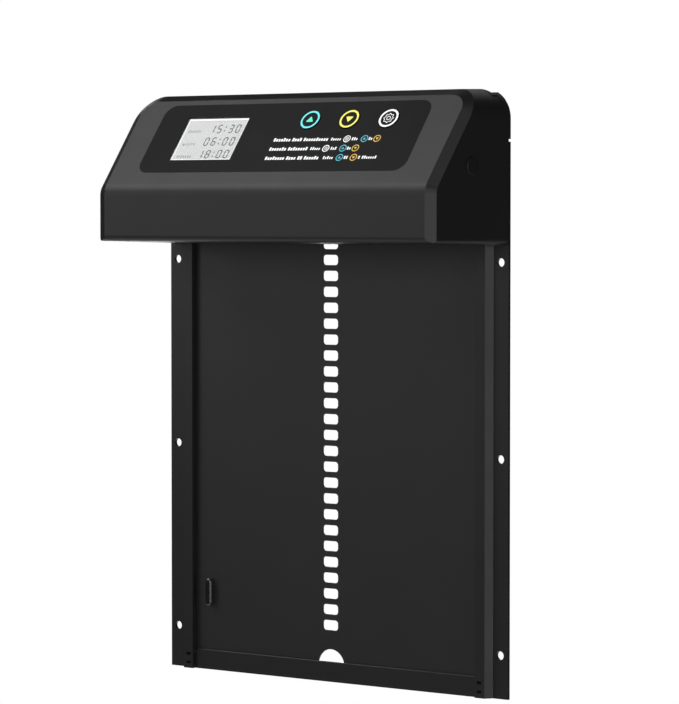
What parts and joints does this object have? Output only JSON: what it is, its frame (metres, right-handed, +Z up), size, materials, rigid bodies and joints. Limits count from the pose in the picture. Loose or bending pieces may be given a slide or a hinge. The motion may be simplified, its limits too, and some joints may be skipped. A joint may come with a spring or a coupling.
{
  "type": "automatic coop door",
  "caption": "Wall-hung sliding coop door: a slotted panel runs up two side rails, driven by a geared motor in a sloped control housing with display and buttons.",
  "frame": {"origin": "centre of the wall mounting hole pattern, on the wall plane", "axes": "+X to the right along the wall, +Y into the wall (the front faces -Y), +Z up"},
  "size_m": [0.251, 0.0725, 0.3489],
  "materials": {
    "rail_metal": "fine black powder coat",
    "panel_metal": "fine black powder coat",
    "housing_plastic": "fine moulded grain",
    "base_plastic": "fine moulded grain",
    "glossy_black": "gloss",
    "overlay_film": "satin film",
    "clear_window": "clear",
    "lcd_grey": "satin",
    "button_open": "satin, printed ring",
    "button_close": "satin, printed ring",
    "button_set": "satin, printed ring",
    "magnet_steel": "nickel plated",
    "foam_rubber": "foam",
    "plug_rubber": "soft",
    "screw_steel": "zinc plated",
    "holder_plastic": "white",
    "switch_plastic": "black",
    "board_green": "solder mask",
    "chip_black": "moulded epoxy",
    "cell_steel": "bright",
    "connector_white": "nylon",
    "reed_glass": "clear",
    "frame_plastic": "acetal",
    "gear_plastic": "acetal",
    "shaft_steel": "ground",
    "clip_steel": "spring steel",
    "bronze": "sintered",
    "pinion_brass": "cut",
    "motor_steel": "plated",
    "gearhead_steel": "plated",
    "terminal_tin": "tinned",
    "battery_jacket": "plain jacket",
    "tray_plastic": "moulded",
    "spring_steel": "plated",
    "wire_red": "insulation"
  },
  "bodies": {
    "frame_and_housing": {"left_rail": "rail_metal", "right_rail": "rail_metal", "bottom_bar": "rail_metal", "left_corner_block": "base_plastic", "right_corner_block": "base_plastic", "rear_base": "base_plastic", "front_cover": "housing_plastic", "cover_gasket": "foam_rubber", "base_screws": "screw_steel", "cover_screws": "screw_steel", "control_overlay": "overlay_film", "lcd_window": "clear_window", "lcd_module": "lcd_grey", "lcd_holder": "holder_plastic", "tact_switches": "switch_plastic", "circuit_board": "board_green", "board_screws": "screw_steel", "controller_chips": "chip_black", "buzzer": "chip_black", "backup_cell": "cell_steel", "board_connectors": "connector_white", "reed_switch": "reed_glass", "gearbox_frame": "frame_plastic", "gearbox_screws": "screw_steel", "left_bush": "bronze", "right_bush": "bronze", "motor_gearhead": "gearhead_steel", "motor_can": "motor_steel", "motor_terminals": "terminal_tin", "motor_screws": "screw_steel", "battery_cell_1": "battery_jacket", "battery_cell_2": "battery_jacket", "battery_cell_3": "battery_jacket", "battery_cell_4": "battery_jacket", "battery_tray": "tray_plastic", "battery_contacts": "terminal_tin", "battery_springs": "spring_steel", "power_jack": "chip_black", "battery_wires": "wire_red", "motor_wires": "wire_red", "jack_wires": "wire_red"},
    "door": {"door_panel": "panel_metal", "door_stop": "glossy_black", "door_magnet": "magnet_steel"},
    "drive_train": {"drive_gear": "gear_plastic", "driven_gear": "gear_plastic", "drive_shaft": "shaft_steel", "shaft_clips": "clip_steel"},
    "motor_output": {"motor_pinion": "pinion_brass", "motor_shaft": "shaft_steel"},
    "open_button_body": {"open_button": "button_open", "open_plunger": "switch_plastic"},
    "close_button_body": {"close_button": "button_close", "close_plunger": "switch_plastic"},
    "set_button_body": {"set_button": "button_set", "set_plunger": "switch_plastic"},
    "battery_cover_body": {"battery_cover": "housing_plastic"},
    "jack_plug_body": {"jack_plug": "plug_rubber"}
  },
  "joints": [
    {"name": "door_lift", "type": "slide", "parent": "frame_and_housing", "child": "door", "axis": [0, 0, 1], "range_m": [0, 0.2]},
    {"name": "drive_shaft_turn", "type": "hinge", "parent": "frame_and_housing", "child": "drive_train", "pos_m": [0, -0.0198, 0.15999], "axis": [1, 0, 0], "range_deg": [-2, 640]},
    {"name": "motor_turn", "type": "hinge", "parent": "frame_and_housing", "child": "motor_output", "pos_m": [0, -0.03489, 0.15296], "axis": [1, 0, 0], "range_deg": [-1280, 4]},
    {"name": "open_press", "type": "slide", "parent": "frame_and_housing", "child": "open_button_body", "axis": [0, 0.7934, -0.6088], "range_m": [0, 0.0008], "stiffness_N_per_m": 2000},
    {"name": "close_press", "type": "slide", "parent": "frame_and_housing", "child": "close_button_body", "axis": [0, 0.7934, -0.6088], "range_m": [0, 0.0008], "stiffness_N_per_m": 2000},
    {"name": "set_press", "type": "slide", "parent": "frame_and_housing", "child": "set_button_body", "axis": [0, 0.7934, -0.6088], "range_m": [0, 0.0008], "stiffness_N_per_m": 2000},
    {"name": "battery_cover_slide", "type": "slide", "parent": "frame_and_housing", "child": "battery_cover_body", "axis": [-1, 0, 0], "range_m": [0, 0.1]},
    {"name": "jack_plug_pull", "type": "slide", "parent": "frame_and_housing", "child": "jack_plug_body", "axis": [1, 0, 0], "range_m": [0, 0.015]}
  ],
  "couplings": [
    {"joint": "drive_shaft_turn", "follows": "door_lift", "rad_per_m": 55.556},
    {"joint": "motor_turn", "follows": "door_lift", "rad_per_m": -111.11}
  ]
}
